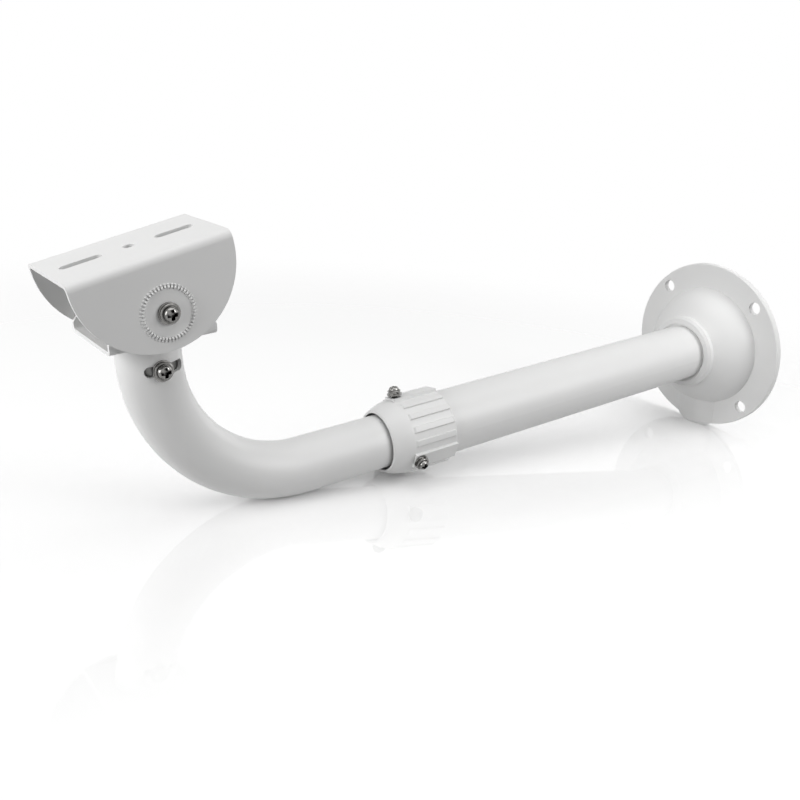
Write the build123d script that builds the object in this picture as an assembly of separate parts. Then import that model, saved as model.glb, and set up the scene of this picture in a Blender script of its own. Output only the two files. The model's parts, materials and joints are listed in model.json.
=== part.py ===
from build123d import *
import os
from math import asin, degrees

# A telescopic wall bracket for a security camera. The wall is the plane Y = 0, the arm reaches
# along -Y, +Z is up, and the origin is the middle of the back of the wall flange. Millimetres.

# Telescopic tubes
INNER_TUBE_DIAMETER = 32.0
INNER_TUBE_WALL = 2.0
TELESCOPE_GAP = 2.2
OUTER_TUBE_WALL = 1.8
OUTER_TUBE_LENGTH = 268.0
TUBE_EDGE_BREAK = 0.4
SEAT_GAP = 0.05

# How far a cut runs past the faces that it opens
CUT_MARGIN = 5.0

# Bent arm, at the extension it has at rest
ARM_REACH = 51.0
ARM_INSERTION = 201.0
BEND_RADIUS = 78.0
ARM_RISE = 15.4

# Guide ring that carries the rear end of the inner tube
GUIDE_LENGTH = 10.0
GUIDE_GROOVE_DEPTH = 0.6
GUIDE_FROM_END = 4.0
GUIDE_SLIT = 2.0
GUIDE_RUNNING_GAP = 0.08
GUIDE_SLIDING_GAP = 0.25
GUIDE_END_GAP = 0.2

# Wall flange with its domed hub
FLANGE_DIAMETER = 125.0
FLANGE_THICKNESS = 4.0
FLANGE_EDGE_BREAK = 0.6
RIM_WIDTH = 17.9
HUB_HEIGHT = 32.0
DOME_BULGE = 3.0
HUB_RING_WIDTH = 7.0
HUB_RING_HEIGHT = 4.5
HUB_RING_BEVEL = 1.6
HUB_SHELL = 3.5
SOCKET_WALL = 4.0
SOCKET_DEPTH = 21.0
SOCKET_STOP = 3.0
SOCKET_MOUTH_GAP = 1.9
BOLT_COUNT = 4
BOLT_HOLE = 9.0
BOLT_EDGE = 8.25

# Cable outlet at the bottom of the flange
OUTLET_HALF_WIDTH = 16.0
OUTLET_HEIGHT = 5.0
OUTLET_CHANNEL_WIDTH = 15.0
OUTLET_ROOF = 3.0
OUTLET_CORNER = 3.0

# Clamp collar on the end of the outer tube
COLLAR_LENGTH = 43.0
COLLAR_GRIP = 21.0
COLLAR_WALL = 2.6
COLLAR_EDGE_BREAK = 0.8
CONE_LENGTH = 12.0
CONE_BULGE = 0.5
MOUTH_GAP = 1.5
MOUTH_LIP = 1.3
MOUTH_DEPTH = 4.0
LAND_GAP = 0.25
COLLAR_TURN = -10.0
RIBS_PER_SECTOR = 4
RIB_PITCH = 21.0
RIB_WIDTH = 3.6
RIB_HEIGHT = 0.9
RIB_RAMP = 2.0
PAD_WIDTH = 10.0
PAD_HEIGHT = 1.4
CLAMP_COUNT = 3
CLAMP_FROM_MOUTH = 15.5
CLAMP_TIP_GAP = 0.3
CLAMP_BACKED_OUT = 1.2

# Fasteners: thread, pan head, cross recess, washers
SMALL_THREAD = 4.0
SMALL_HEAD_DIAMETER = 8.0
SMALL_HEAD_HEIGHT = 3.1
SMALL_WASHER_DIAMETER = 9.0
SMALL_WASHER = 0.8
SMALL_SPRING_DIAMETER = 7.0
SMALL_SPRING = 1.1
SMALL_LENGTH = 10.0
LARGE_THREAD = 5.0
LARGE_HEAD_DIAMETER = 9.5
LARGE_HEAD_HEIGHT = 3.7
LARGE_WASHER_DIAMETER = 10.6
LARGE_WASHER = 1.0
LARGE_NUT_FLATS = 8.0
LARGE_NUT_HEIGHT = 4.0
PIVOT_THREAD_PAST_NUT = 1.0
RECESS_SPAN_SHARE = 0.56
RECESS_WIDTH_SHARE = 0.15
RECESS_DEPTH_SHARE = 0.6
HEAD_DOME_SHARE = 0.72
HEAD_BULGE_SHARE = 0.25
SPRING_SPLIT = 0.6
SPRING_SPLIT_SLANT = 30.0
THREAD_GAP = 0.05
WASHER_GAP = 0.15
STACK_GAP = 0.02

# Pan bearing in the top end of the arm
SPIGOT_GAP = 0.1
SPIGOT_BORE = 17.0
SPIGOT_PAST_BEND = 3.0
SPIGOT_LIP = 1.5
SPIGOT_LIP_WIDTH = 4.0
SPIGOT_NECK_STEP = 2.9
YOKE_SEAT_GAP = 0.3
PAN_SCREW_ABOVE_BEND = 0.8
PAN_SCREW_LENGTH = 8.0
PAN_WASHER_GAP = 0.15
PAN_SLOT_WIDTH = 5.5
PAN_SLOT_CENTRE = 12.5
PAN_SLOT_HALF_SPAN = 39.5

# Inside radius of a bend in sheet, at the least, as a share of the sheet
LEAST_BEND_SHARE = 0.2

# Yoke that turns on the arm
YOKE_WIDTH = 48.6
YOKE_LENGTH = 52.3
YOKE_SHEET = 2.0
YOKE_BEND = 3.0
YOKE_END_HEIGHT = 5.2
YOKE_TOP_RADIUS = 15.5
PIVOT_HEIGHT = 15.5
PIVOT_BACK = 2.2
REST_PAN = 4.0

# Saddle that tilts on the yoke and carries the camera
SADDLE_SHEET = 2.0
SADDLE_SIDE_GAP = 0.4
SADDLE_LENGTH = 79.0
SADDLE_RISE = 27.2
SADDLE_DROP = 17.9
SADDLE_BEND = 4.0
REST_TILT = 9.5
CAMERA_HOLE = 5.5
CAMERA_SLOT_LENGTH = 20.0
CAMERA_SLOT_EDGE = 6.5
PIVOT_RUNNING_GAP = 0.08
PIVOT_WASHER_GAP = 0.2

# Radial teeth stamped round the pivot
TOOTH_COUNT = 48
TOOTH_RING_RADIUS = 12.6
TOOTH_LENGTH = 1.8
TOOTH_WIDTH = 0.8
TOOTH_HEIGHT = 0.6
TOOTH_ROOT = 0.3
YOKE_TOOTH_SHARE = 0.6

# Sizes that follow from those above
inner_radius = INNER_TUBE_DIAMETER / 2
inner_bore = inner_radius - INNER_TUBE_WALL
outer_bore = inner_radius + TELESCOPE_GAP
outer_radius = outer_bore + OUTER_TUBE_WALL
flange_radius = FLANGE_DIAMETER / 2
bolt_circle_radius = flange_radius - BOLT_EDGE
dome_radius = flange_radius - RIM_WIDTH
hub_ring_radius = outer_radius + HUB_RING_WIDTH
tube_start = HUB_HEIGHT - SOCKET_DEPTH
tube_end = tube_start + OUTER_TUBE_LENGTH
collar_rear = tube_end - COLLAR_GRIP
collar_front = collar_rear + COLLAR_LENGTH
collar_radius = outer_radius + COLLAR_WALL
cone_rear = collar_front - CONE_LENGTH
pad_radius = collar_radius + PAD_HEIGHT
clamp_station = collar_front - CLAMP_FROM_MOUTH
arm_start = collar_front - ARM_INSERTION
bend_start = collar_front + ARM_REACH
head_axis = bend_start + BEND_RADIUS
arm_top = BEND_RADIUS + ARM_RISE
guide_start = arm_start + GUIDE_FROM_END
spigot_radius = inner_bore - SPIGOT_GAP
spigot_neck = spigot_radius - SPIGOT_NECK_STEP
yoke_floor = arm_top + YOKE_SEAT_GAP
pan_screw_height = BEND_RADIUS + PAN_SCREW_ABOVE_BEND
pivot_height = yoke_floor + PIVOT_HEIGHT
yoke_side = YOKE_WIDTH / 2
saddle_inside = yoke_side + SADDLE_SIDE_GAP
saddle_side = saddle_inside + SADDLE_SHEET
pivot_bore = LARGE_THREAD / 2 + PIVOT_RUNNING_GAP


def turned(points):
    """Solid of revolution about Z of a closed outline of (radius, height) corners."""
    outline = Polyline(*[(radius, 0, height) for radius, height in points], close=True)
    return revolve(make_face(outline.edges()), Axis.Z)


def ring(outside, inside, low, high):
    """Plain ring about Z between two heights."""
    return turned([(inside, low), (outside, low), (outside, high), (inside, high)])


def along_arm(shape):
    """Turns a shape built up from the wall along +Z so that it lies along the arm, -Y."""
    return Rot(90, 0, 0) * shape


def round_collar(shape, index):
    """Takes a radial shape on the +Y side of the upright collar to one of the clamp places."""
    return Rot(0, 0, -(COLLAR_TURN + index * 360 / CLAMP_COUNT)) * shape


def bulged(start, end, bulge):
    """Arc between two (radius, height) points that swells outwards by the bulge at its middle."""
    first = Vector(start[0], 0, start[1])
    last = Vector(end[0], 0, end[1])
    chord = last - first
    outwards = Vector(chord.Z, 0, -chord.X).normalized()
    middle = (first + last) * 0.5 + outwards * bulge
    return ThreePointArc(first, middle, last)


def turned_with_arc(before, arc_start, arc_end, bulge, after):
    """Solid of revolution whose outline has one bulged stretch between two runs of corners."""
    corners = [*before, arc_start]
    rest = [arc_end, *after, corners[0]]
    edges = Polyline(*[(radius, 0, height) for radius, height in corners]).edges()
    edges += bulged(arc_start, arc_end, bulge).edges()
    edges += Polyline(*[(radius, 0, height) for radius, height in rest]).edges()
    return revolve(make_face(edges), Axis.Z)


def flange_hub():
    """Disc, dome and ring of the wall flange, still without its hollow."""
    edge = FLANGE_EDGE_BREAK
    ring_low = HUB_HEIGHT - HUB_RING_HEIGHT
    before = [
        (0, 0),
        (flange_radius, 0),
        (flange_radius, FLANGE_THICKNESS - edge),
        (flange_radius - edge, FLANGE_THICKNESS),
    ]
    after = [
        (hub_ring_radius, HUB_HEIGHT - HUB_RING_BEVEL),
        (hub_ring_radius - HUB_RING_BEVEL, HUB_HEIGHT),
        (0, HUB_HEIGHT),
    ]
    dome_foot = (dome_radius, FLANGE_THICKNESS)
    return turned_with_arc(before, dome_foot, (hub_ring_radius, ring_low), DOME_BULGE, after)


def flange_hollow():
    """Space behind the dome, open to the wall, with the tube socket standing in it."""
    socket_radius = outer_radius + SOCKET_WALL
    roof = HUB_HEIGHT - HUB_RING_HEIGHT - HUB_SHELL
    socket_rear = tube_start - SOCKET_STOP
    foot = (dome_radius - HUB_SHELL, 0)
    after = [(socket_radius, socket_rear), (0, socket_rear)]
    return turned_with_arc([(0, 0)], foot, (socket_radius, roof), DOME_BULGE, after)


def socket_bore():
    """Bore that takes the outer tube, with its stop at the rear and an open groove at the mouth."""
    seat = outer_radius + SEAT_GAP
    stop = outer_bore
    mouth = outer_radius + SOCKET_MOUTH_GAP
    low = tube_start - SOCKET_STOP
    points = [(0, low), (stop, low), (stop, tube_start), (seat, tube_start)]
    points += [(seat, HUB_HEIGHT - SOCKET_MOUTH_GAP), (mouth, HUB_HEIGHT - SOCKET_MOUTH_GAP / 2)]
    points += [(mouth, HUB_HEIGHT), (0, HUB_HEIGHT)]
    return turned(points)


def outlet_hump():
    """Low arch over the cable outlet, from the dome to the bottom of the rim."""
    radius = (OUTLET_HALF_WIDTH**2 + OUTLET_HEIGHT**2) / (2 * OUTLET_HEIGHT)
    centre = FLANGE_THICKNESS + OUTLET_HEIGHT - radius
    run = flange_radius - hub_ring_radius
    barrel = Pos(0, -flange_radius + run / 2, centre) * Rot(90, 0, 0) * Cylinder(radius, run)
    limit = turned([(0, 0), (flange_radius, 0), (flange_radius, HUB_HEIGHT), (0, HUB_HEIGHT)])
    return barrel & limit


def outlet_channel():
    """Channel under the arch, from the hollow behind the dome out through the rim."""
    height = FLANGE_THICKNESS + OUTLET_HEIGHT - OUTLET_ROOF
    run = flange_radius - hub_ring_radius + SEAT_GAP
    section = Rectangle(OUTLET_CHANNEL_WIDTH, 2 * height)
    section = fillet(section.vertices(), OUTLET_CORNER)
    tunnel = extrude(Plane.XZ * section, run)
    return Pos(0, -hub_ring_radius, 0) * tunnel


def wall_flange():
    """Round wall plate with domed hub, tube socket, bolt holes and cable outlet."""
    body = flange_hub() + outlet_hump()
    body -= flange_hollow()
    body -= socket_bore()
    body -= outlet_channel()
    hole = Cylinder(BOLT_HOLE / 2, 2 * FLANGE_THICKNESS + CUT_MARGIN)
    body -= PolarLocations(bolt_circle_radius, BOLT_COUNT, start_angle=180 / BOLT_COUNT) * hole
    return along_arm(body)


def outer_tube():
    """Straight tube from the socket in the flange to the shoulder in the collar."""
    edge = TUBE_EDGE_BREAK
    points = [(outer_bore, tube_start), (outer_radius - edge, tube_start)]
    points += [(outer_radius, tube_start + edge), (outer_radius, tube_end - edge)]
    points += [(outer_radius - edge, tube_end), (outer_bore, tube_end)]
    return along_arm(turned(points))


def collar_shell():
    """Body of the collar: a sleeve over the outer tube that narrows to the mouth."""
    edge = COLLAR_EDGE_BREAK
    lip_inside = inner_radius + MOUTH_GAP
    before = [
        (0, collar_rear),
        (collar_radius - edge, collar_rear),
        (collar_radius, collar_rear + edge),
    ]
    foot = (collar_radius, cone_rear)
    return turned_with_arc(
        before, foot, (lip_inside + MOUTH_LIP, collar_front), CONE_BULGE, [(0, collar_front)]
    )


def collar_bore():
    """Hollow of the collar: tube seat, clamping land and the wider mouth."""
    seat = outer_radius + SEAT_GAP
    land = inner_radius + LAND_GAP
    mouth = inner_radius + MOUTH_GAP
    mouth_floor = collar_front - MOUTH_DEPTH
    points = [(0, collar_rear), (seat, collar_rear), (seat, tube_end), (land, tube_end)]
    points += [(land, mouth_floor), (mouth, mouth_floor), (mouth, collar_front), (0, collar_front)]
    return turned(points)


def collar_ribs():
    """Raised grip ribs between the clamp pads, ramped at the end that faces the mouth."""
    top = collar_radius + RIB_HEIGHT
    low = collar_rear + COLLAR_EDGE_BREAK
    high = cone_rear
    envelope = turned(
        [(0, low), (collar_radius, low), (top, low + RIB_HEIGHT), (top, high - RIB_RAMP)]
        + [(collar_radius - RIB_HEIGHT, high), (0, high)]
    )
    bar = Pos(0, top / 2, (low + high) / 2) * Box(RIB_WIDTH, top, high - low)
    ribs = Part()
    for sector in range(CLAMP_COUNT):
        for index in range(RIBS_PER_SECTOR):
            offset = (index - (RIBS_PER_SECTOR - 1) / 2) * RIB_PITCH
            ribs += round_collar(Rot(0, 0, -offset) * bar, sector + 0.5)
    return ribs & envelope


def collar_pad():
    """Flat pad that a clamp screw seats on."""
    low = collar_rear + COLLAR_EDGE_BREAK
    length = cone_rear - low
    return Pos(0, pad_radius / 2, low + length / 2) * Box(PAD_WIDTH, pad_radius, length)


def clamp_collar():
    """Collar that joins the tubes and holds the clamp screws."""
    body = collar_shell() + collar_ribs()
    reach = pad_radius + CUT_MARGIN
    tapped = Pos(0, reach / 2, clamp_station) * Rot(90, 0, 0)
    tapped *= Cylinder(SMALL_THREAD / 2 + THREAD_GAP, reach)
    for index in range(CLAMP_COUNT):
        body += round_collar(collar_pad(), index)
    body -= collar_bore()
    for index in range(CLAMP_COUNT):
        body -= round_collar(tapped, index)
    return along_arm(body)


def guide_ring():
    """Split plastic ring in the groove near the rear end of the inner tube."""
    inside = inner_radius - GUIDE_GROOVE_DEPTH + GUIDE_RUNNING_GAP
    outside = outer_bore - GUIDE_SLIDING_GAP
    body = ring(outside, inside, guide_start, guide_start + GUIDE_LENGTH)
    slit = Pos(0, -outside / 2, guide_start + GUIDE_LENGTH / 2)
    body -= slit * Box(GUIDE_SLIT, outside, GUIDE_LENGTH + CUT_MARGIN)
    return along_arm(body)


def arm_path():
    """Middle line of the arm: along the tubes, round the bend and up to the yoke."""
    first = Line((0, -arm_start, 0), (0, -bend_start, 0))
    bend = TangentArc((0, -bend_start, 0), (0, -head_axis, BEND_RADIUS), tangent=(0, -1, 0))
    last = Line((0, -head_axis, BEND_RADIUS), (0, -head_axis, arm_top))
    return Wire([first.edge(), bend.edge(), last.edge()])


def swept_round(radius):
    """Round bar along the middle line of the arm."""
    path = arm_path()
    start = Plane(origin=(0, -arm_start, 0), z_dir=(0, -1, 0))
    return sweep(start * Circle(radius), path=path)


def pan_slot():
    """Curved slot in the top of the arm that lets the pan screw swing."""
    reach = inner_radius + CUT_MARGIN
    end_half_angle = degrees(asin(PAN_SLOT_WIDTH / 2 / inner_radius))
    swing = PAN_SLOT_HALF_SPAN - end_half_angle
    section = Plane.XZ * Pos(reach / 2, 0) * Rectangle(reach, PAN_SLOT_WIDTH)
    slot = Rot(0, 0, -swing) * revolve(section, Axis.Z, 2 * swing)
    end = Pos(reach / 2, 0, 0) * Rot(0, 90, 0) * Cylinder(PAN_SLOT_WIDTH / 2, reach)
    slot += Rot(0, 0, swing) * end
    slot += Rot(0, 0, -swing) * end
    return Pos(0, -head_axis, pan_screw_height) * Rot(0, 0, PAN_SLOT_CENTRE) * slot


def arm_tube():
    """Bent inner tube with the ring groove at its rear end and the pan slot at its top."""
    groove_low = guide_start - GUIDE_END_GAP
    groove_high = guide_start + GUIDE_LENGTH + GUIDE_END_GAP
    floor = inner_radius - GUIDE_GROOVE_DEPTH
    groove = along_arm(ring(inner_radius + TELESCOPE_GAP, floor, groove_low, groove_high))
    return swept_round(inner_radius) - swept_round(inner_bore) - groove - pan_slot()


def pan_head(diameter, height):
    """Domed screw head on the plane Z = 0 with a cross recess in its top."""
    radius = diameter / 2
    rim = height * (1 - HEAD_DOME_SHARE)
    flat = radius * RECESS_SPAN_SHARE
    edges = Polyline((0, 0, height), (0, 0, 0), (radius, 0, 0), (radius, 0, rim)).edges()
    edges += bulged((radius, rim), (flat, height), (radius - flat) * HEAD_BULGE_SHARE).edges()
    edges += Line((flat, 0, height), (0, 0, height)).edges()
    head = revolve(make_face(edges), Axis.Z)
    depth = height * RECESS_DEPTH_SHARE
    wing = Pos(0, 0, height - depth / 2)
    wing *= Box(diameter * RECESS_SPAN_SHARE, diameter * RECESS_WIDTH_SHARE, depth)
    return head - wing - Rot(0, 0, 90) * wing


def pan_head_screw(thread, head_diameter, head_height, length):
    """Screw with the underside of its head on Z = 0 and its shank down along -Z."""
    edge = TUBE_EDGE_BREAK
    radius = thread / 2
    shank = turned(
        [(0, -length), (radius - edge, -length), (radius, edge - length), (radius, 0), (0, 0)]
    )
    return pan_head(head_diameter, head_height) + shank


def spring_washer(outside, thread, low, thickness):
    """Split lock washer."""
    inside = thread / 2 + WASHER_GAP
    body = ring(outside / 2, inside, low, low + thickness)
    cut = Pos(outside / 2, 0, low + thickness / 2) * Rot(SPRING_SPLIT_SLANT, 0, 0)
    return body - cut * Box(outside, SPRING_SPLIT, thickness + CUT_MARGIN)


def clamp_stack(index):
    """Clamp screw, spring washer and flat washer of one clamp place, captive on each other."""
    stack_height = SMALL_SPRING + SMALL_WASHER + 2 * STACK_GAP
    tip = inner_radius + CLAMP_TIP_GAP
    head_seat = tip + SMALL_LENGTH
    if index == 0:
        head_seat += CLAMP_BACKED_OUT
    screw = pan_head_screw(SMALL_THREAD, SMALL_HEAD_DIAMETER, SMALL_HEAD_HEIGHT, SMALL_LENGTH)
    spring = spring_washer(
        SMALL_SPRING_DIAMETER, SMALL_THREAD, -STACK_GAP - SMALL_SPRING, SMALL_SPRING
    )
    inside = SMALL_THREAD / 2 + WASHER_GAP
    flat = ring(SMALL_WASHER_DIAMETER / 2, inside, -stack_height, SMALL_WASHER - stack_height)
    seat = Pos(0, head_seat, clamp_station) * Rot(-90, 0, 0)
    return [along_arm(round_collar(seat * piece, index)) for piece in (screw, spring, flat)]


def on_pan_axis(shape):
    """Takes a shape built round Z to the top of the arm, at the pan that it has at rest."""
    return Pos(0, -head_axis, 0) * Rot(0, 0, REST_PAN) * shape


def on_pivot(shape):
    """Takes a shape built round the tilt pivot to its place over the arm."""
    return on_pan_axis(Pos(0, PIVOT_BACK, pivot_height) * shape)


def pan_spigot():
    """Sleeve staked to the yoke floor that turns in the top end of the arm."""
    low = BEND_RADIUS - SPIGOT_PAST_BEND
    bore = SPIGOT_BORE / 2
    neck_top = yoke_floor + YOKE_SHEET
    lip_radius = spigot_neck + SPIGOT_LIP_WIDTH
    points = [(bore, low), (spigot_radius - TUBE_EDGE_BREAK, low)]
    points += [(spigot_radius, low + TUBE_EDGE_BREAK), (spigot_radius, yoke_floor)]
    points += [(spigot_neck, yoke_floor), (spigot_neck, neck_top), (lip_radius, neck_top)]
    points += [(lip_radius, neck_top + SPIGOT_LIP), (bore, neck_top + SPIGOT_LIP)]
    tapped = Pos(spigot_radius / 2, 0, pan_screw_height) * Rot(0, 90, 0)
    tapped *= Cylinder(LARGE_THREAD / 2 + THREAD_GAP, spigot_radius)
    return on_pan_axis(turned(points) - tapped)


def pan_lock():
    """Pan lock screw and its washer, through the slot in the arm into the spigot."""
    washer_low = inner_radius + PAN_WASHER_GAP
    seat = Pos(washer_low + LARGE_WASHER + STACK_GAP, 0, pan_screw_height) * Rot(0, 90, 0)
    screw = pan_head_screw(LARGE_THREAD, LARGE_HEAD_DIAMETER, LARGE_HEAD_HEIGHT, PAN_SCREW_LENGTH)
    return on_pan_axis(seat * screw), on_pan_axis(seat * large_washer())


def large_washer():
    """Flat washer just under a head that seats on Z = 0."""
    inside = LARGE_THREAD / 2 + WASHER_GAP
    return ring(LARGE_WASHER_DIAMETER / 2, inside, -STACK_GAP - LARGE_WASHER, -STACK_GAP)


def channel(half_width, sheet, bend, floor, top, length):
    """Bent sheet channel along Y with its floor at the bottom and open above."""
    height = top - floor
    outside = Pos(0, floor + height / 2) * Rectangle(2 * half_width, height)
    outside = fillet(outside.vertices().group_by(Axis.Y)[0], bend)
    inside = Pos(0, floor + sheet + height / 2) * Rectangle(2 * (half_width - sheet), height)
    inside_bend = max(bend - sheet, sheet * LEAST_BEND_SHARE)
    inside = fillet(inside.vertices().group_by(Axis.Y)[0], inside_bend)
    return extrude(Plane.XZ * (outside - inside), length / 2, both=True)


def tooth_ring(face, height, root):
    """Radial teeth round the pivot, standing out of a side face along +X."""
    depth = height + root
    tooth = Pos(face - root + depth / 2, 0, TOOTH_RING_RADIUS) * Box(depth, TOOTH_WIDTH, TOOTH_LENGTH)
    return [Rot(index * 360 / TOOTH_COUNT, 0, 0) * tooth for index in range(TOOTH_COUNT)]


def mirrored(shapes):
    """The shapes and their mirror images on the other side of the arm."""
    return shapes + [mirror(shape, Plane.YZ) for shape in shapes]


def yoke_bracket():
    """Sheet channel on the arm whose two walls carry the tilt pivot, with low teeth round it."""
    floor = -PIVOT_HEIGHT
    top = YOKE_TOP_RADIUS
    sides = Pos(0, -PIVOT_BACK, 0) * channel(yoke_side, YOKE_SHEET, YOKE_BEND, floor, top, YOKE_LENGTH)
    end = Pos(-PIVOT_BACK, floor + YOKE_END_HEIGHT / 2) * Rectangle(YOKE_LENGTH, YOKE_END_HEIGHT)
    outline = make_hull(end.edges() + Circle(YOKE_TOP_RADIUS).edges())
    body = sides & extrude(Plane.YZ * outline, yoke_side, both=True)
    sleeve_hole = Cylinder(spigot_neck + SEAT_GAP, 2 * YOKE_SHEET + CUT_MARGIN)
    body -= Pos(0, -PIVOT_BACK, floor) * sleeve_hole
    body -= Rot(0, 90, 0) * Cylinder(pivot_bore, YOKE_WIDTH + CUT_MARGIN)
    body += mirrored(tooth_ring(yoke_side, SADDLE_SIDE_GAP * YOKE_TOOTH_SHARE, TOOTH_ROOT))
    return on_pivot(body)


def saddle_outline():
    """Side view of the saddle: straight ends at the top and a round lower edge."""
    radius = SADDLE_LENGTH / 2
    centre = radius - SADDLE_DROP
    height = SADDLE_RISE + SADDLE_DROP
    round_part = Pos(0, centre) * Circle(radius)
    upper = Pos(0, centre + height / 2) * Rectangle(SADDLE_LENGTH, height)
    limit = Pos(0, SADDLE_RISE - height / 2) * Rectangle(SADDLE_LENGTH + CUT_MARGIN, height)
    return (round_part + upper) & limit


def saddle_bracket():
    """Inverted channel with half-round walls, camera hole and slots, and stamped teeth."""
    sides = channel(
        saddle_side, SADDLE_SHEET, SADDLE_BEND, -SADDLE_RISE, SADDLE_DROP, SADDLE_LENGTH
    )
    body = Rot(0, 180, 0) * sides & extrude(Plane.YZ * saddle_outline(), saddle_side, both=True)
    slot_centre = SADDLE_LENGTH / 2 - CAMERA_SLOT_EDGE - CAMERA_SLOT_LENGTH / 2
    plan = Circle(CAMERA_HOLE / 2)
    for side in (-1, 1):
        plan += Pos(0, side * slot_centre) * Rot(0, 0, 90) * SlotOverall(CAMERA_SLOT_LENGTH, CAMERA_HOLE)
    body -= extrude(Pos(0, 0, SADDLE_RISE) * plan, SADDLE_SHEET, both=True)
    body -= Rot(0, 90, 0) * Cylinder(pivot_bore, 2 * saddle_side + CUT_MARGIN)
    body -= mirrored(tooth_ring(saddle_inside, TOOTH_ROOT, TOOTH_ROOT))
    body += mirrored(tooth_ring(saddle_side, TOOTH_HEIGHT, TOOTH_ROOT))
    return on_pivot(Rot(REST_TILT, 0, 0) * body)


def pivot_set(side):
    """Pivot screw, washer and welded nut on one side of the yoke."""
    washer_low = saddle_side + PIVOT_WASHER_GAP
    head_seat = washer_low + LARGE_WASHER + STACK_GAP
    nut_high = yoke_side - YOKE_SHEET
    nut_low = nut_high - LARGE_NUT_HEIGHT
    length = head_seat - nut_low + PIVOT_THREAD_PAST_NUT
    screw = pan_head_screw(LARGE_THREAD, LARGE_HEAD_DIAMETER, LARGE_HEAD_HEIGHT, length)
    hexagon = RegularPolygon(LARGE_NUT_FLATS / 2, 6, major_radius=False)
    nut = extrude(hexagon - Circle(LARGE_THREAD / 2 + THREAD_GAP), LARGE_NUT_HEIGHT)
    outwards = Rot(0, side * 90, 0)
    seat = outwards * Pos(0, 0, head_seat)
    pieces = (seat * screw, seat * large_washer(), outwards * Pos(0, 0, nut_low) * nut)
    return [on_pivot(piece) for piece in pieces]


def all_nodes():
    """Every piece of the bracket under its node name."""
    nodes = {
        "wall_flange": wall_flange(),
        "outer_tube": outer_tube(),
        "clamp_collar": clamp_collar(),
        "guide_ring": guide_ring(),
        "arm_tube": arm_tube(),
        "pan_spigot": pan_spigot(),
        "yoke_bracket": yoke_bracket(),
        "saddle_bracket": saddle_bracket(),
    }
    for index, place in enumerate(("top", "front", "rear")):
        screw, spring, flat = clamp_stack(index)
        nodes[f"clamp_screw_{place}"] = screw
        nodes[f"clamp_spring_{place}"] = spring
        nodes[f"clamp_washer_{place}"] = flat
    nodes["pan_lock_screw"], nodes["pan_lock_washer"] = pan_lock()
    for side, place in ((1, "right"), (-1, "left")):
        screw, washer, nut = pivot_set(side)
        nodes[f"pivot_screw_{place}"] = screw
        nodes[f"pivot_washer_{place}"] = washer
        nodes[f"pivot_nut_{place}"] = nut
    return nodes


os.makedirs("parts", exist_ok=True)
for name, shape in all_nodes().items():
    export_step(shape, f"parts/{name}.step")
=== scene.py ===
import cmath
import json
import logging
import math
from abc import ABC, abstractmethod
from dataclasses import dataclass, field
from enum import Enum
from typing import Any, Callable

import bmesh
import bpy
from mathutils import Matrix, Vector


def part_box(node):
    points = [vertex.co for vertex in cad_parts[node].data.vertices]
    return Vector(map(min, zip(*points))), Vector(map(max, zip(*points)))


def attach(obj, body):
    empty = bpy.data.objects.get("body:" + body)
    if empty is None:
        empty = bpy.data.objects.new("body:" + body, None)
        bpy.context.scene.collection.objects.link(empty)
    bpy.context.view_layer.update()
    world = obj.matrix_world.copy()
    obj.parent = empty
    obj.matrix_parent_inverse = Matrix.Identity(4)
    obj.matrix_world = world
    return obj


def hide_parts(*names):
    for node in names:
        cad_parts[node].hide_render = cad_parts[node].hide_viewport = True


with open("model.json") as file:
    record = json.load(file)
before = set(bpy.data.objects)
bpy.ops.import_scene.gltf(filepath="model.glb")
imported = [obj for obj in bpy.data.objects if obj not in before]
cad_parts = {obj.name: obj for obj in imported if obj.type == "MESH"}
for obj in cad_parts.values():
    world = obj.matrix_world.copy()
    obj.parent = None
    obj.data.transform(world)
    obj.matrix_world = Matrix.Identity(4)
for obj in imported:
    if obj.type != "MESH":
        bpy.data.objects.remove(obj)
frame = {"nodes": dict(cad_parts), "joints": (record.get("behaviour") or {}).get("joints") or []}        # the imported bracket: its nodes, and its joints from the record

LOG = logging.getLogger("wall_bracket")
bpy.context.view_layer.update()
MM = 0.001
FULL_TURN = 2 * math.pi
QUARTER_TURN = FULL_TURN / 4
SMOOTH_BELOW = math.radians(35)
RAYS = 6
Colour = tuple[float, float, float, float]


class Slot(Enum):
    """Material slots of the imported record."""

    COAT = "powder_coat"
    STEEL = "bright_steel"
    SLEEVE = "zinc_sleeve"
    PLASTIC = "guide_plastic"


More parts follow.
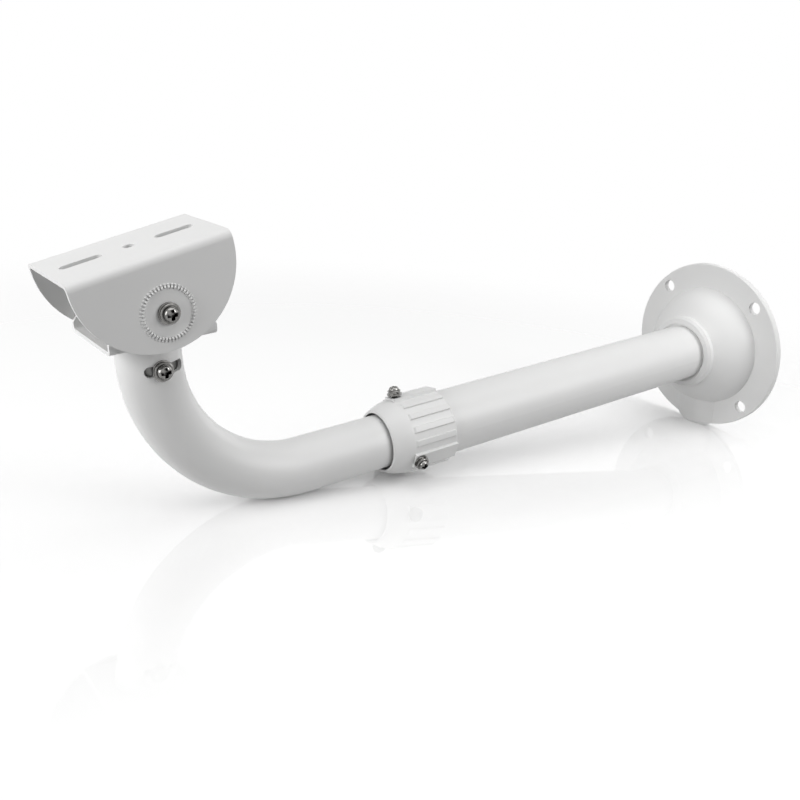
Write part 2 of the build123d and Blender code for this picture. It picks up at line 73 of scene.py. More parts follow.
class Wire:
    """One shader socket that takes part in arithmetic: each operator adds a Math node."""

    def __init__(self, tree: "ShaderTree", socket: "bpy.types.NodeSocket | None") -> None:
        """Keeps the socket and the tree that its nodes go into."""
        self.tree = tree
        self.socket = socket

    def _math(self, operation: str, *values: "Wire | float", clamp: bool = False) -> "Wire":
        """Adds one Math node.

        Args:
            operation: The node's operation.
            values: Its operands in order, wires or plain numbers.
            clamp: Whether the result is held between 0 and 1.

        Returns:
            The result.
        """
        settings = {"operation": operation, "use_clamp": clamp}
        return self.tree.add("ShaderNodeMath", settings, dict(enumerate(values)))

    def __add__(self, other: "Wire | float") -> "Wire":
        """Sum."""
        return self._math("ADD", self, other)

    def __radd__(self, other: float) -> "Wire":
        """Sum with a number on the left."""
        return self._math("ADD", other, self)

    def __sub__(self, other: "Wire | float") -> "Wire":
        """Difference."""
        return self._math("SUBTRACT", self, other)

    def __rsub__(self, other: float) -> "Wire":
        """Difference with a number on the left."""
        return self._math("SUBTRACT", other, self)

    def __mul__(self, other: "Wire | float") -> "Wire":
        """Product."""
        return self._math("MULTIPLY", self, other)

    def __rmul__(self, other: float) -> "Wire":
        """Product with a number on the left."""
        return self._math("MULTIPLY", other, self)

    def __truediv__(self, other: "Wire | float") -> "Wire":
        """Quotient."""
        return self._math("DIVIDE", self, other)

    def __rtruediv__(self, other: float) -> "Wire":
        """Quotient with a number on the left."""
        return self._math("DIVIDE", other, self)

    def sine(self) -> "Wire":
        """Sine of a value in radians."""
        return self._math("SINE", self)

    def held(self) -> "Wire":
        """The value held between 0 and 1."""
        return self._math("ADD", self, 0.0, clamp=True)


class ShaderTree:
    """The node tree of one material or of the world."""

    def __init__(self, tree: bpy.types.NodeTree) -> None:
        """Takes over a tree and empties it."""
        self.tree = tree
        tree.nodes.clear()

    def add(
        self,
        kind: str,
        settings: dict[str, Any] | None = None,
        inputs: dict[str | int, Any] | None = None,
        output: str | int = 0,
    ) -> Wire:
        """Adds any node.

        Args:
            kind: The node's type.
            settings: Its own settings, set before its sockets.
            inputs: Values or wires for its sockets, by name or number.
            output: The socket that is handed back.

        Returns:
            The wanted output, empty for a node that has none.
        """
        node = self.tree.nodes.new(kind)
        for name, value in (settings or {}).items():
            setattr(node, name, value)
        for key, value in (inputs or {}).items():
            if isinstance(value, Wire):
                self.tree.links.new(value.socket, node.inputs[key])
            else:
                node.inputs[key].default_value = value
        return Wire(self, node.outputs[output]) if node.outputs else Wire(self, None)

    def noise(self, place: Wire, size: float, detail: float = 2.0) -> Wire:
        """Noise whose features are about as wide as the size, in metres."""
        inputs = {"Vector": place, "Scale": 1 / size, "Detail": detail}
        return self.add("ShaderNodeTexNoise", {}, inputs, "Fac")

    def crevice(self, reach: float, span: tuple[float, float], alone: bool = True) -> Wire:
        """How deep in a corner or hollow a point lies, from 0 in the open to 1.

        Args:
            reach: How far walls count, in metres.
            span: The hidden shares of the surroundings that count as 0 and as 1.
            alone: Whether only the piece's own walls count.

        Returns:
            The depth.
        """
        settings = {"samples": RAYS, "only_local": alone}
        openness = self.add("ShaderNodeAmbientOcclusion", settings, {"Distance": reach}, "AO")
        start, end = span
        return ((1 - start - openness) / (end - start)).held()

    def mix(self, share: Wire, first: Colour | Wire, second: Colour | Wire) -> Wire:
        """Colour between two others."""
        return self.add("ShaderNodeMix", {"data_type": "RGBA"}, {0: share, 6: first, 7: second}, 2)

    def surface(self, inputs: dict[str | int, Any]) -> None:
        """Ends the tree with a principled surface."""
        shader = self.add("ShaderNodeBsdfPrincipled", {}, inputs)
        self.add("ShaderNodeOutputMaterial", {}, {"Surface": shader})


@dataclass(frozen=True)
class Finish(ABC):
    """A surface finish with its place in the record."""

    name: str
    slot: Slot

    @abstractmethod
    def paint(self, tree: ShaderTree) -> None:
        """Builds the nodes of the finish.

        Args:
            tree: The material's empty node tree.
        """

    def material(self) -> bpy.types.Material:
        """Makes the finish's one material when it is first asked for.

        Returns:
            The material, the same one each time.
        """
        found = bpy.data.materials.get(self.name)
        if found:
            return found
        made = bpy.data.materials.new(self.name)
        made.use_nodes = True
        self.paint(ShaderTree(made.node_tree))
        return made


@dataclass(frozen=True)
class PowderCoat(Finish):
    """Satin powder coat with orange peel, faint clouding, a painted highlight on edges, painted shade in
    corners and darker painted shade in gaps.
    """

    light: Colour = (0.83, 0.83, 0.825, 1)
    dark: Colour = (0.80, 0.80, 0.795, 1)
    # painted highlight: the paler colour on edges
    painted_edge_highlight: Colour = (0.90, 0.90, 0.895, 1)
    # painted shade: the darker colour in corners
    painted_corner_shade: Colour = (0.42, 0.42, 0.415, 1)
    roughness: float = 0.42
    roughness_swing: float = 0.10
    cloud_size: float = 22 * MM
    peel_size: float = 1.1 * MM
    grit_size: float = 0.35 * MM
    grit_share: float = 0.25
    peel_depth: float = 0.02 * MM
    peel_strength: float = 0.25
    edge_radius: float = 0.15 * MM
    edge_gain: float = 2.5
    corner_reach: float = 1.0 * MM
    corner_span: tuple[float, float] = (0.35, 1.20)
    # painted shade: the near black in narrow gaps
    shaded: Colour = (0.06, 0.06, 0.06, 1)
    gap_reach: float = 2.0 * MM
    gap_span: tuple[float, float] = (0.50, 0.95)
    gap_alone: bool = True

    def paint(self, tree: ShaderTree) -> None:
        """Clouded colour, with a painted highlight on edges, painted shade in corners and darker painted
        shade in gaps, over a bump on soft edges.

        Args:
            tree: The material's empty node tree.
        """
        place = tree.add("ShaderNodeTexCoord", output="Object")
        cloud = tree.noise(place, self.cloud_size, detail=3.0)
        peel = tree.noise(place, self.peel_size, detail=1.5)
        grit = tree.noise(place, self.grit_size, detail=0.0)
        soft = tree.add("ShaderNodeBevel", {"samples": RAYS}, {"Radius": self.edge_radius})
        facing = tree.add("ShaderNodeNewGeometry", output="Normal")
        straight = tree.add(
            "ShaderNodeVectorMath", {"operation": "DOT_PRODUCT"}, {0: soft, 1: facing}, "Value"
        )
        # painted highlight mask: edges, where the softened normal leaves the true one
        edge = ((1 - straight) * self.edge_gain).held()
        # painted shade mask: corners hidden from their surroundings
        corner = tree.crevice(self.corner_reach, self.corner_span)
        # painted shade mask: narrow gaps
        gap = tree.crevice(self.gap_reach, self.gap_span, self.gap_alone)
        open_colour = tree.mix(edge, tree.mix(cloud, self.dark, self.light), self.painted_edge_highlight)
        colour = tree.mix(gap, tree.mix(corner, open_colour, self.painted_corner_shade), self.shaded)
        rough = self.roughness + (peel - 0.5) * self.roughness_swing
        bump = tree.add(
            "ShaderNodeBump",
            {},
            {
                "Strength": self.peel_strength,
                "Distance": self.peel_depth,
                "Height": peel * (1 - self.grit_share) + grit * self.grit_share,
                "Normal": soft,
            },
        )
        tree.surface({"Base Color": colour, "Roughness": rough, "Normal": bump})


@dataclass(frozen=True)
class PlatedSteel(Finish):
    """Bright plating, faintly clouded and with painted shade in its hollows, with turning rings where it
    was turned.
    """

    bright: Colour = (0.36, 0.355, 0.345, 1)
    dull: Colour = (0.08, 0.078, 0.075, 1)
    # painted shade: the near black in hollows
    painted_hollow_shade: Colour = (0.012, 0.012, 0.011, 1)
    hollow_reach: float = 1.6 * MM
    hollow_span: tuple[float, float] = (0.0, 0.65)
    roughness: float = 0.10
    roughness_swing: float = 0.10
    cloud_size: float = 2.2 * MM
    scratch_size: float = 0.25 * MM
    ring_pitch: float = 0.32 * MM
    ring_share: float = 0.0
    depth: float = 0.012 * MM
    strength: float = 0.35

    def paint(self, tree: ShaderTree) -> None:
        """Plating with its clouds and scratches, and rings about the piece's own Z.

        Args:
            tree: The material's empty node tree.
        """
        place = tree.add("ShaderNodeTexCoord", output="Object")
        cloud = tree.noise(place, self.cloud_size, detail=3.0)
        scratch = tree.noise(place, self.scratch_size)
        height = scratch
        if self.ring_share:
            flat = tree.add(
                "ShaderNodeVectorMath", {"operation": "MULTIPLY"}, {0: place, 1: (1, 1, 0)}
            )
            radius = tree.add("ShaderNodeVectorMath", {"operation": "LENGTH"}, {0: flat}, "Value")
            rings = (radius * (FULL_TURN / self.ring_pitch)).sine() * 0.5 + 0.5
            height = scratch * (1 - self.ring_share) + rings * self.ring_share
        # painted shade mask: hollows hidden from their surroundings
        hollow = tree.crevice(self.hollow_reach, self.hollow_span)
        colour = tree.mix(hollow, tree.mix(cloud, self.dull, self.bright), self.painted_hollow_shade)
        rough = self.roughness + (1 - cloud) * self.roughness_swing
        bump = tree.add(
            "ShaderNodeBump", {}, {"Strength": self.strength, "Distance": self.depth, "Height": height}
        )
        tree.surface({"Base Color": colour, "Roughness": rough, "Metallic": 1.0, "Normal": bump})


@dataclass(frozen=True)
class MouldedPlastic(Finish):
    """Dark moulded plastic with a fine grain."""

    light: Colour = (0.06, 0.06, 0.062, 1)
    dark: Colour = (0.035, 0.035, 0.037, 1)
    roughness: float = 0.5
    roughness_swing: float = 0.2
    cloud_size: float = 5 * MM
    grain_size: float = 0.3 * MM
    depth: float = 0.02 * MM
    strength: float = 0.4

    def paint(self, tree: ShaderTree) -> None:
        """Clouded dark colour over a grain.

        Args:
            tree: The material's empty node tree.
        """
        place = tree.add("ShaderNodeTexCoord", output="Object")
        cloud = tree.noise(place, self.cloud_size)
        grain = tree.noise(place, self.grain_size)
        rough = self.roughness + (grain - 0.5) * self.roughness_swing
        bump = tree.add(
            "ShaderNodeBump", {}, {"Strength": self.strength, "Distance": self.depth, "Height": grain}
        )
        colour = tree.mix(cloud, self.dark, self.light)
        tree.surface({"Base Color": colour, "Roughness": rough, "Normal": bump})


COAT = PowderCoat("satin_powder_coat", Slot.COAT)
# the collar's coat: a wider painted edge highlight, and painted shade in gaps that counts the pieces next
# to it too
CAST_COAT = PowderCoat(
    "satin_coat_on_casting",
    Slot.COAT,
    edge_radius=0.7 * MM,
    gap_reach=5.0 * MM,
    gap_span=(0.50, 0.80),
    gap_alone=False,
)
# the saddle's coat, with weaker painted shade in its corners
TOOTH_COAT = PowderCoat("satin_coat_on_teeth", Slot.COAT, painted_corner_shade=(0.68, 0.68, 0.675, 1))
# paler copy of the coat for the crowns: a painted highlight on the teeth
CROWN_COAT = PowderCoat(
    "highlight_painted_coat_on_crowns",
    Slot.COAT,
    light=(0.92, 0.92, 0.915, 1),
    dark=(0.90, 0.90, 0.895, 1),
    painted_edge_highlight=(0.94, 0.94, 0.935, 1),
    gap_alone=False,
)
TURNED_STEEL = PlatedSteel("turned_plated_steel", Slot.STEEL, ring_share=0.6)
STEEL = PlatedSteel("plated_steel", Slot.STEEL)
# darker than bare zinc, as painted shade: the sleeve shows through the pan slot, whose inside lies in
# shade
SLEEVE = PlatedSteel(
    "zinc_plated_sleeve",
    Slot.SLEEVE,
    bright=(0.19, 0.19, 0.186, 1),
    dull=(0.11, 0.11, 0.107, 1),
    roughness=0.34,
)
PLASTIC = MouldedPlastic("moulded_guide_plastic", Slot.PLASTIC)


def dress_node(name: str, finish: Finish) -> None:
    """Gives a node of the frame its finish through its object's own material slots.

    Args:
        name: The node.
        finish: What it wears.
    """
    for slot in frame["nodes"][name].material_slots:
        slot.link = "OBJECT"
        slot.material = finish.material()
    LOG.info("%s wears %s", name, finish.name)


def reach(name: str, axis: Vector) -> float:
    """How far a node of the frame reaches along an axis from the origin."""
    return max(vertex.co.dot(axis) for vertex in frame["nodes"][name].data.vertices)


def joint(name: str) -> dict[str, Any]:
    """A joint of the frame as the record gives it."""
    return next(found for found in frame["joints"] if found["name"] == name)


def joint_axis(name: str) -> Vector:
    """Direction of a joint of the frame."""
    return Vector(joint(name)["axis"]).normalized()


def joint_place(name: str) -> Vector:
    """Point that a hinge of the frame turns about."""
    return Vector(joint(name)["pos_m"])


def middle(name: str) -> Vector:
    """Middle of a node's box."""
    low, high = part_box(name)
    return (Vector(low) + Vector(high)) / 2


def smooth(mesh: bpy.types.Mesh) -> None:
    """Shades a mesh smooth across its gentle edges."""
    mesh.polygons.foreach_set("use_smooth", [True] * len(mesh.polygons))
    mesh.set_sharp_from_angle(angle=SMOOTH_BELOW)


def mesh_object(name: str, build: bmesh.types.BMesh) -> bpy.types.Object:
    """Turns a built mesh into an object in the scene.

    Args:
        name: Name of the object and of its mesh.
        build: The mesh, which is freed.

    Returns:
        The new object at the origin.
    """
    mesh = bpy.data.meshes.new(name)
    build.to_mesh(mesh)
    build.free()
    smooth(mesh)
    made = bpy.data.objects.new(name, mesh)
    bpy.context.scene.collection.objects.link(made)
    return made


@dataclass(frozen=True)
class Seat:
    """Where a fastener sits: the middle of the face under its head, and the way its head points."""

    origin: Vector
    axis: Vector

    def matrix(self) -> Matrix:
        """Takes a fastener built up +Z to its seat."""
        turn = self.axis.to_track_quat("Z", "Y").to_matrix().to_4x4()
        return Matrix.Translation(self.origin) @ turn


@dataclass
class PanHeadScrew:
    """Flanged screw with a cross recess and a real thread, in place of a plain one of the frame."""

    node: str
    body: str
    axis: Vector
    through: Vector
    thread: float
    pitch: float
    head: float
    head_height: float
    length: float
    steps: int = 48
    rows_per_pitch: int = 8
    recess_span: float = 0.62
    recess_width: float = 0.21
    recess_depth: float = 0.62
    recess_taper: float = 0.55
    recess_flare: float = 1.08
    recess_rise: float = 0.2
    root_share: float = 0.62
    crest_share: float = 0.1
    tip_slope: float = 0.7
    flange_share: float = 0.24
    dome_share: float = 0.77
    dome_rows: int = 9
    dome_bulge: float = 0.62
    dome_fall: float = 0.85
    underside_share: float = 0.75
    edge: float = 0.25 * MM

    def seat(self) -> Seat:
        """Finds the seat on the screw's own axis from the node that the screw stands for.

        Returns:
            The seat.
        """
        foot = self.through - self.axis * self.through.dot(self.axis)
        top = reach(self.node, self.axis)
        return Seat(foot + self.axis * (top - self.head_height), self.axis)

    def head_rows(self) -> list[tuple[float, float]]:
        """Works out the rings of the head, from the top to the shank.

        Returns:
            Each ring's radius and its height over the seat.
        """
        radius = self.head / 2
        flange = self.head_height * self.flange_share
        dome = radius * self.dome_share
        rows = []
        for index in range(1, self.dome_rows + 1):
            swing = QUARTER_TURN * index / self.dome_rows
            rise = (self.head_height - flange) * math.cos(swing) ** self.dome_fall
            rows.append((dome * math.sin(swing) ** self.dome_bulge, flange + rise))
        rows += [(radius - self.edge, flange), (radius, flange - self.edge)]
        rows += [(radius, self.edge), (radius - self.edge / 3, self.edge / 3), (radius - self.edge, 0.0)]
        rows += [(radius * self.underside_share, 0.0), (self.thread / 2, 0.0)]
        return rows

    def thread_radius(self, height: float, turn: float) -> float:
        """Works out the thread's radius at one point.

        Args:
            height: Height over the seat, below 0 on the shank.
            turn: Turn round the axis in radians.

        Returns:
            The radius in metres.
        """
        outside = self.thread / 2
        phase = (height / self.pitch + turn / FULL_TURN) % 1.0
        flank = 1 - 2 * self.crest_share
        crest = min(max((abs(phase - 0.5) * 2 - self.crest_share) / flank, 0.0), 1.0)
        depth = self.pitch * self.root_share
        run_out = min(max((-height - self.pitch / 2) / self.pitch, 0.0), 1.0)
        tip = outside - max(0.0, self.pitch - (self.length + height)) * self.tip_slope
        return min(outside - depth * (1 - crest) * run_out, tip)

    def blank(self) -> bpy.types.Object:
        """Builds the head and the thread as one closed surface, without the recess.

        Returns:
            The blank, up +Z with its seat at the origin.
        """
        build = bmesh.new()
        rings: list[list[bmesh.types.BMVert]] = []
        turns = [FULL_TURN * step / self.steps for step in range(self.steps)]

        def ring(radius: Callable[[float], float], height: float) -> None:
            """Adds one ring of points."""
            points = [(radius(t) * math.cos(t), radius(t) * math.sin(t), height) for t in turns]
            rings.append([build.verts.new(point) for point in points])

        for radius, height in self.head_rows():
            ring(lambda turn, radius=radius: radius, height)
        rows = round(self.length / self.pitch * self.rows_per_pitch)
        for row in range(1, rows + 1):
            height = -self.length * row / rows
            ring(lambda turn, height=height: self.thread_radius(height, turn), height)
        top = build.verts.new((0, 0, self.head_height))
        tip = build.verts.new((0, 0, -self.length))
        for step in range(self.steps):
            after = (step + 1) % self.steps
            build.faces.new((top, rings[0][step], rings[0][after]))
            build.faces.new((tip, rings[-1][after], rings[-1][step]))
            for upper, lower in zip(rings, rings[1:]):
                build.faces.new((upper[after], upper[step], lower[step], lower[after]))
        bmesh.ops.recalc_face_normals(build, faces=build.faces)
        return mesh_object(self.node + "_threaded", build)

    def recess_cutter(self, turn: float) -> bpy.types.Object:
        """Builds one tapered bar of the cross, standing in the top of the head.

        Args:
            turn: How far the bar is turned about the screw's axis, in radians.

        Returns:
            The bar, which is cut out of the head and then removed.
        """
        build = bmesh.new()
        long_side = self.head * self.recess_span / 2
        short_side = self.head * self.recess_width / 2
        bottom = self.head_height * (1 - self.recess_depth)
        top = self.head_height * (1 + self.recess_rise)
        corners = []
        for height, share in ((bottom, self.recess_taper), (top, self.recess_flare)):
            for x, y in ((-1, -1), (1, -1), (1, 1), (-1, 1)):
                corners.append(build.verts.new((x * long_side * share, y * short_side * share, height)))
        for face in ((3, 2, 1, 0), (4, 5, 6, 7), (0, 1, 5, 4), (1, 2, 6, 5), (2, 3, 7, 6), (3, 0, 4, 7)):
            build.faces.new([corners[index] for index in face])
        cutter = mesh_object(self.node + "_cutter", build)
        cutter.data.transform(Matrix.Rotation(turn, 4, "Z"))
        return cutter

    def build(self) -> bpy.types.Object:
        """Makes the screw, seats it and lets it stand for its node.

        Returns:
            The screw.
        """
        screw = self.blank()
        cutters = [self.recess_cutter(turn) for turn in (0.0, QUARTER_TURN)]
        for cutter in cutters:
            cut = screw.modifiers.new(cutter.name, "BOOLEAN")
            cut.operation = "DIFFERENCE"
            cut.object = cutter
        evaluated = screw.evaluated_get(bpy.context.evaluated_depsgraph_get())
        mesh = bpy.data.meshes.new_from_object(evaluated)
        screw.modifiers.clear()
        screw.data = mesh
        smooth(mesh)
        for cutter in cutters:
            bpy.data.objects.remove(cutter)
        screw.matrix_world = self.seat().matrix()
        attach(screw, self.body)
        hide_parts(self.node)
        LOG.info("%s stands for %s", screw.name, self.node)
        return screw

    def dress(self, screw: bpy.types.Object) -> None:
        """Plates the screw.

        Args:
            screw: The built screw.
        """
        screw.data.materials.clear()
        screw.data.materials.append(TURNED_STEEL.material())


@dataclass
class WallMount:
    """Wall flange and the straight outer tube."""

    coated: tuple[str, ...] = ("wall_flange", "outer_tube")

    def dress(self) -> None:
        """Coats both pieces."""
        for name in self.coated:
            dress_node(name, COAT)


@dataclass
class ClampSet:
    """Clamp collar with its three screws and their washers."""

    places: tuple[str, ...] = ("top", "front", "rear")
    thread: float = 4.0 * MM
    pitch: float = 0.7 * MM
    head: float = 8.0 * MM
    head_height: float = 3.1 * MM
    length: float = 10.0 * MM

    def build(self) -> None:
        """Makes the threaded clamp screws."""
        for place in self.places:
            node = f"clamp_screw_{place}"
            screw = PanHeadScrew(
                node,
                f"clamp_{place}",
                joint_axis(f"clamp_{place}_travel"),
                Vector((0, middle(node).y, 0)),
                self.thread,
                self.pitch,
                self.head,
                self.head_height,
                self.length,
            )
            screw.dress(screw.build())

    def dress(self) -> None:
        """Coats the collar and plates the washers."""
        dress_node("clamp_collar", CAST_COAT)
        for place in self.places:
            dress_node(f"clamp_spring_{place}", STEEL)
            dress_node(f"clamp_washer_{place}", STEEL)


@dataclass
class BentArm:
    """Bent inner tube and the ring that guides it."""

    def dress(self) -> None:
        """Coats the tube and leaves the ring in dark plastic."""
        dress_node("arm_tube", COAT)
        dress_node("guide_ring", PLASTIC)


@dataclass
class PanHead:
    """Yoke on its sleeve, with the pan lock and the tilt pivot."""

    thread: float = 5.0 * MM
    pitch: float = 0.8 * MM
    head: float = 9.5 * MM
    head_height: float = 3.7 * MM
    lock: str = "pan_lock_screw"
    pivots: dict[str, int] = field(
        default_factory=lambda: {"pivot_screw_right": 1, "pivot_screw_left": -1}
    )
    plated: tuple[str, ...] = (
        "pan_lock_washer",
        "pivot_washer_right",
        "pivot_washer_left",
        "pivot_nut_right",
        "pivot_nut_left",
    )

    def screw(self, node: str, axis: Vector, through: Vector) -> None:
        """Makes one threaded screw of the head.

        Args:
            node: The plain screw that it stands for.
            axis: The way its head points.
            through: Any point on its axis.
        """
        whole = reach(node, axis) + reach(node, -axis)
        length = whole - self.head_height
        made = PanHeadScrew(
            node, "head", axis, through, self.thread, self.pitch, self.head, self.head_height, length
        )
        made.dress(made.build())

    def build(self) -> None:
        """Makes the threaded lock and pivot screws."""
        across = joint_axis("saddle_tilt")
        pan = joint_place("head_pan")
        self.screw(self.lock, across, Vector((pan.x, pan.y, middle(self.lock).z)))
        for node, side in self.pivots.items():
            self.screw(node, across * side, joint_place("saddle_tilt"))

    def dress(self) -> None:
        """Coats the yoke, plates the washers and nuts, and gives the sleeve its zinc."""
        dress_node("yoke_bracket", COAT)
        dress_node("pan_spigot", SLEEVE)
        for name in self.plated:
            dress_node(name, STEEL)


@dataclass
class Saddle:
    """Tilting saddle that carries the camera, with sloping crowns on its stamped teeth."""

    node: str = "saddle_bracket"
    body: str = "saddle"
    teeth: int = 48
    tooth_height: float = 0.6 * MM
    near_top: float = 0.05 * MM
    sunk: float = 0.1 * MM
    foot: float = 0.45 * MM
    profile: tuple[tuple[float, float, float], ...] = (
        (11.3 * MM, 0.0, 0.45 * MM),
        (11.7 * MM, 0.9 * MM, 0.42 * MM),
        (12.1 * MM, 1.05 * MM, 0.42 * MM),
        (13.8 * MM, 0.0, 0.45 * MM),
    )

    def first_tooth(self, axis: Vector, across: Vector, up: Vector) -> float:
        """Turn of the first tooth, read from the corners of the frame's own teeth.

        Args:
            axis: Direction of the pivot.
            across: Direction in which a turn is 0.
            up: Direction a quarter turn further.

        Returns:
            The turn in radians.
        """
        pivot = joint_place("saddle_tilt")
        top = reach(self.node, axis) - self.near_top
        total = 0j
        for vertex in frame["nodes"][self.node].data.vertices:
            if vertex.co.dot(axis) > top:
                away = vertex.co - pivot
                total += cmath.exp(1j * self.teeth * math.atan2(away.dot(up), away.dot(across)))
        return cmath.phase(total) / self.teeth

    def crown(self, build: bmesh.types.BMesh, place: Matrix) -> None:
        """Adds one crown: a low ridge that runs outwards and falls away at both ends.

        Args:
            build: The mesh that it goes into.
            place: Takes the outward, sideways and height axes of a tooth to their place.
        """
        rows = []
        for outward, height, half in self.profile:
            points = ((half, height), (-half, height), (-self.foot, -self.sunk), (self.foot, -self.sunk))
            rows.append([build.verts.new(place @ Vector((outward, side, rise))) for side, rise in points])
        for inner, outer in zip(rows, rows[1:]):
            for corner in range(4):
                after = (corner + 1) % 4
                build.faces.new((inner[corner], inner[after], outer[after], outer[corner]))
        build.faces.new(rows[0])
        build.faces.new(rows[-1])

    def build(self) -> bpy.types.Object:
        """Makes the crowns on both walls.

        Returns:
            All crowns as one piece.
        """
        build = bmesh.new()
        pivot = joint_place("saddle_tilt")
        for axis in (joint_axis("saddle_tilt"), -joint_axis("saddle_tilt")):
            across = axis.orthogonal().normalized()
            up = axis.cross(across)
            wall = reach(self.node, axis) - self.tooth_height - pivot.dot(axis)
            first = self.first_tooth(axis, across, up)
            for index in range(self.teeth):
                turn = Matrix.Rotation(first + FULL_TURN * index / self.teeth, 4, axis)
                columns = [turn @ across, turn @ up, axis, pivot + axis * wall]
                self.crown(build, Matrix([column.to_4d() for column in columns]).transposed())
        bmesh.ops.recalc_face_normals(build, faces=build.faces)
        made = mesh_object("saddle_tooth_crowns", build)
        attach(made, self.body)
        LOG.info("%s stand on %s", made.name, self.node)
        return made

    def dress(self, crowns: bpy.types.Object) -> None:
        """Coats the saddle and the crowns.

        Args:
            crowns: The built crowns.
        """
        dress_node(self.node, TOOTH_COAT)
        # the crowns wear the paler coat, a painted highlight
        crowns.data.materials.append(CROWN_COAT.material())


@dataclass(frozen=True)
class Softbox:
    """A square area light that is aimed at a point."""

    name: str
    place: tuple[float, float, float]
    aim: tuple[float, float, float]
    side: float
    power: float

    def build(self) -> bpy.types.Object:
        """Hangs the light.

        Returns:
            The lamp.
        """
        light = bpy.data.lights.new(self.name, "AREA")
        light.shape = "SQUARE"
        light.size = self.side
        light.energy = self.power
        made = bpy.data.objects.new(self.name, light)
        made.location = self.place
        made.rotation_mode = "QUATERNION"
        made.rotation_quaternion = (Vector(self.aim) - Vector(self.place)).to_track_quat("-Z", "Y")
        bpy.context.scene.collection.objects.link(made)
        return made


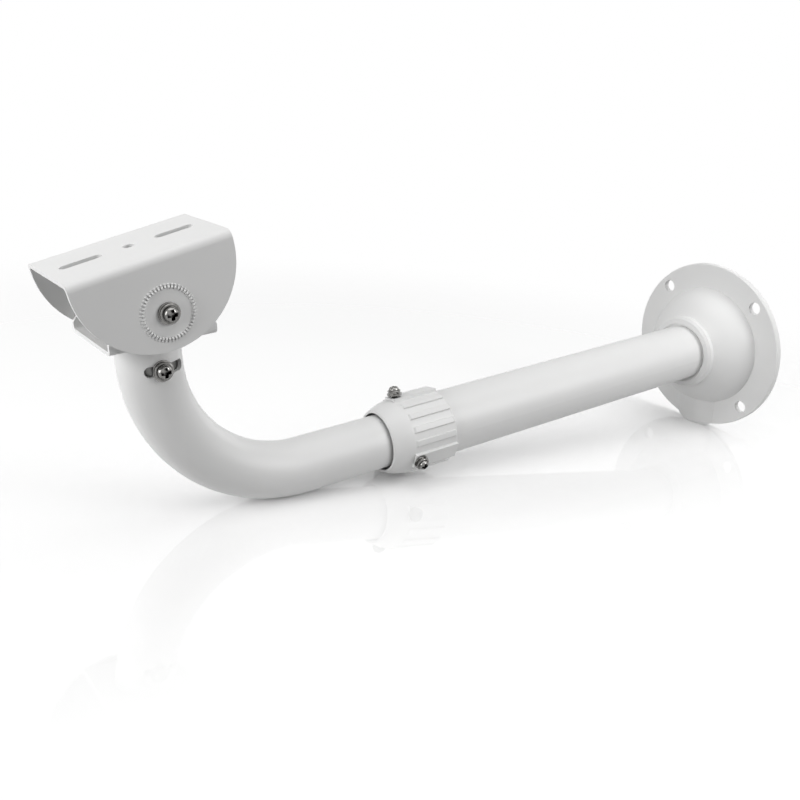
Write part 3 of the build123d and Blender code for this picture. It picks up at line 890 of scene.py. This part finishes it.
@dataclass
class Studio:
    """Camera, floor, light and white surroundings."""

    camera_place: tuple[float, float, float] = (0.399341, -0.546096, 0.223664)
    camera_azimuth: float = 56.768
    camera_elevation: float = 22.811
    camera_roll: float = -0.932
    lens: float = 39.0946
    sensor: float = 36.0
    nearest: float = 10 * MM
    floor_side: float = 3.0
    floor_cells: int = 8
    floor_tilt: float = math.radians(20)
    floor_tries: int = 40
    floor_share: float = 0.34
    floor_fade: tuple[float, float] = (0.30, 0.75)
    floor_colour: Colour = (0.95, 0.95, 0.95, 1)
    floor_glow: float = 0.22
    # reach, span and opacity of the painted contact shadow
    contact_reach: float = 75 * MM
    contact_span: tuple[float, float] = (0.0, 0.75)
    contact_share: float = 0.95
    mirror_share: float = 0.15
    mirror_roughness: float = 0.04
    mirror_fade: tuple[float, float] = (60 * MM, 170 * MM)
    floor_gap: float = 0.15 * MM
    polish_gap: float = 0.10 * MM
    sky_strength: float = 0.02
    white: Colour = (1, 1, 1, 1)
    black: Colour = (0, 0, 0, 1)
    floor_middle: tuple[float, float, float] = (0.0, -0.25, 0.03)
    softboxes: tuple[Softbox, ...] = (
        Softbox("top_softbox", (0.1, -0.1, 1.2), (0.0, -0.2, 0.0), 1.3, 8.0),
        Softbox("front_softbox", (0.1, -1.4, 0.5), (0.0, -0.25, 0.0), 0.8, 9.2),
        Softbox("right_softbox", (0.55, 0.15, 0.35), (0.0, -0.2, 0.0), 0.4, 2.6),
        Softbox("left_softbox", (-0.5, -1.0, 0.3), (0.0, -0.2, 0.0), 0.6, 1.7),
        Softbox("rear_softbox", (-0.35, 1.0, 0.25), (0.0, 0.0, 0.0), 0.6, 2.4),
    )

    def camera(self) -> None:
        """Sets up the photograph's view."""
        data = bpy.data.cameras.new("photo_camera")
        data.lens = self.lens
        data.sensor_width = self.sensor
        data.clip_start = self.nearest
        made = bpy.data.objects.new("photo_camera", data)
        azimuth = math.radians(self.camera_azimuth)
        elevation = math.radians(self.camera_elevation)
        back = Vector(
            (
                math.sin(azimuth) * math.cos(elevation),
                -math.cos(azimuth) * math.cos(elevation),
                math.sin(elevation),
            )
        )
        level = (-back).to_track_quat("-Z", "Y").to_matrix().to_4x4()
        roll = Matrix.Rotation(math.radians(self.camera_roll), 4, "Z")
        made.matrix_world = Matrix.Translation(self.camera_place) @ level @ roll
        bpy.context.scene.collection.objects.link(made)
        bpy.context.scene.camera = made

    def floor_normal(self) -> Vector:
        """Finds the plane that the flange and the elbow both rest on.

        Returns:
            Its upward normal.
        """
        low, high = 0.0, self.floor_tilt
        for _ in range(self.floor_tries):
            tilt = (low + high) / 2
            normal = Vector((0, math.sin(tilt), math.cos(tilt)))
            if reach("wall_flange", -normal) > reach("arm_tube", -normal):
                low = tilt
            else:
                high = tilt
        return normal

    def kept(self, tree: ShaderTree, place: Wire, fade: tuple[float, float]) -> Wire:
        """1 near the middle of the floor, falling softly to 0.

        Args:
            tree: The floor's node tree.
            place: Where a point lies from the middle.
            fade: The distances at which the fall starts and ends, in metres.

        Returns:
            What is left at the point.
        """
        distance = tree.add("ShaderNodeVectorMath", {"operation": "LENGTH"}, {0: place}, "Value")
        near, far = fade
        gone = ((distance - near) / (far - near)).held()
        return 1 - gone * gone * (3 - 2 * gone)

    def shown(self, tree: ShaderTree) -> Wire:
        """Marks what the eye, and what metal and glass, see of the background.

        Args:
            tree: The node tree that asks.

        Returns:
            1 for those rays, otherwise 0.
        """
        seen = tree.add("ShaderNodeLightPath", output="Is Camera Ray")
        mirrored = tree.add("ShaderNodeLightPath", output="Is Glossy Ray")
        passed = tree.add("ShaderNodeLightPath", output="Is Transmission Ray")
        return (seen + mirrored + passed).held()

    def floor_material(self) -> bpy.types.Material:
        """Makes a white that takes the lamps' soft shadow and a painted contact shadow, and lets some of
        the white behind it through.

        Returns:
            The material.
        """
        made = bpy.data.materials.new("white_floor")
        made.use_nodes = True
        tree = ShaderTree(made.node_tree)
        kept = self.kept(tree, tree.add("ShaderNodeTexCoord", output="Object"), self.floor_fade)
        # painted contact shadow: where the object hides the floor's surroundings, the glow is taken away
        # and the floor turns more opaque
        painted_contact_shadow = tree.crevice(self.contact_reach, self.contact_span, alone=False)
        glow = tree.mix(self.shown(tree) * (1 - painted_contact_shadow), self.black, self.white)
        share = self.floor_share + painted_contact_shadow * (self.contact_share - self.floor_share)
        clear = tree.add("ShaderNodeBsdfTransparent", {}, {"Color": self.white})
        solid = tree.add(
            "ShaderNodeBsdfPrincipled",
            {},
            {
                "Base Color": self.floor_colour,
                "Roughness": 1.0,
                "Specular IOR Level": 0.0,
                "Emission Color": glow,
                "Emission Strength": self.floor_glow,
            },
        )
        mixed = tree.add("ShaderNodeMixShader", {}, {0: kept * share, 1: clear, 2: solid})
        tree.add("ShaderNodeOutputMaterial", {}, {"Surface": mixed})
        return made

    def polish_material(self) -> bpy.types.Material:
        """Makes a clear gloss that is strongest under the arm.

        Returns:
            The material.
        """
        made = bpy.data.materials.new("floor_polish")
        made.use_nodes = True
        tree = ShaderTree(made.node_tree)
        place = tree.add("ShaderNodeTexCoord", output="Object")
        across = tree.add("ShaderNodeVectorMath", {"operation": "MULTIPLY"}, {0: place, 1: (1, 0, 0)})
        kept = self.kept(tree, place, self.floor_fade) * self.kept(tree, across, self.mirror_fade)
        clear = tree.add("ShaderNodeBsdfTransparent", {}, {"Color": self.white})
        mirror = tree.add(
            "ShaderNodeBsdfGlossy", {}, {"Color": self.white, "Roughness": self.mirror_roughness}
        )
        mixed = tree.add("ShaderNodeMixShader", {}, {0: kept * self.mirror_share, 1: clear, 2: mirror})
        tree.add("ShaderNodeOutputMaterial", {}, {"Surface": mixed})
        return made

    def sheet(self, name: str, gap: float, material: bpy.types.Material) -> bpy.types.Object:
        """Lays one sheet under the flange and the elbow.

        Args:
            name: Name of the sheet.
            gap: How far it lies under the object, in metres.
            material: Its material.

        Returns:
            The sheet.
        """
        build = bmesh.new()
        cells = self.floor_cells
        bmesh.ops.create_grid(build, x_segments=cells, y_segments=cells, size=self.floor_side / 2)
        made = mesh_object(name, build)
        normal = self.floor_normal()
        depth = max(reach("wall_flange", -normal), reach("arm_tube", -normal)) + gap
        middle = Vector(self.floor_middle)
        foot = middle - normal * (middle.dot(normal) + depth)
        turn = normal.to_track_quat("Z", "Y").to_matrix().to_4x4()
        made.matrix_world = Matrix.Translation(foot) @ turn
        made.data.materials.append(material)
        return made

    def floor(self) -> None:
        """Lays the floor and its polish, and hangs the lamps, which don't show in the polish."""
        self.sheet("studio_floor", self.floor_gap, self.floor_material())
        polish = self.sheet("studio_floor_polish", self.polish_gap, self.polish_material())
        polish.visible_diffuse = False
        polish.visible_glossy = False
        polish.visible_shadow = False
        unlit = bpy.data.collections.new("lamps_leave_alone")
        unlit.objects.link(polish)
        unlit.collection_objects[0].light_linking.link_state = "EXCLUDE"
        for softbox in self.softboxes:
            softbox.build().light_linking.receiver_collection = unlit

    def surroundings(self) -> None:
        """White to the eye and in mirrors, and a faint soft light on the rest."""
        world = bpy.data.worlds.new("white_studio")
        world.use_nodes = True
        bpy.context.scene.world = world
        tree = ShaderTree(world.node_tree)
        sky = tree.add("ShaderNodeBackground", {}, {"Color": self.white, "Strength": self.sky_strength})
        backdrop = tree.add("ShaderNodeBackground", {}, {"Color": self.white, "Strength": 1.0})
        mixed = tree.add("ShaderNodeMixShader", {}, {0: self.shown(tree), 1: sky, 2: backdrop})
        tree.add("ShaderNodeOutputWorld", {}, {"Surface": mixed})

    def build(self) -> None:
        """Sets the camera, the floor with its lamps, the surroundings and the colour view."""
        self.camera()
        self.floor()
        self.surroundings()
        bpy.context.scene.view_settings.view_transform = "Standard"


def main() -> None:
    """Builds and dresses each sub-assembly, then the studio round it."""
    logging.basicConfig(level=logging.INFO, format="%(name)s: %(message)s")
    clamps = ClampSet()
    head = PanHead()
    saddle = Saddle()
    for group in (clamps, head):
        group.build()
    saddle.dress(saddle.build())
    for group in (WallMount(), clamps, BentArm(), head):
        group.dress()
    Studio().build()


if __name__ == "__main__":
    main()
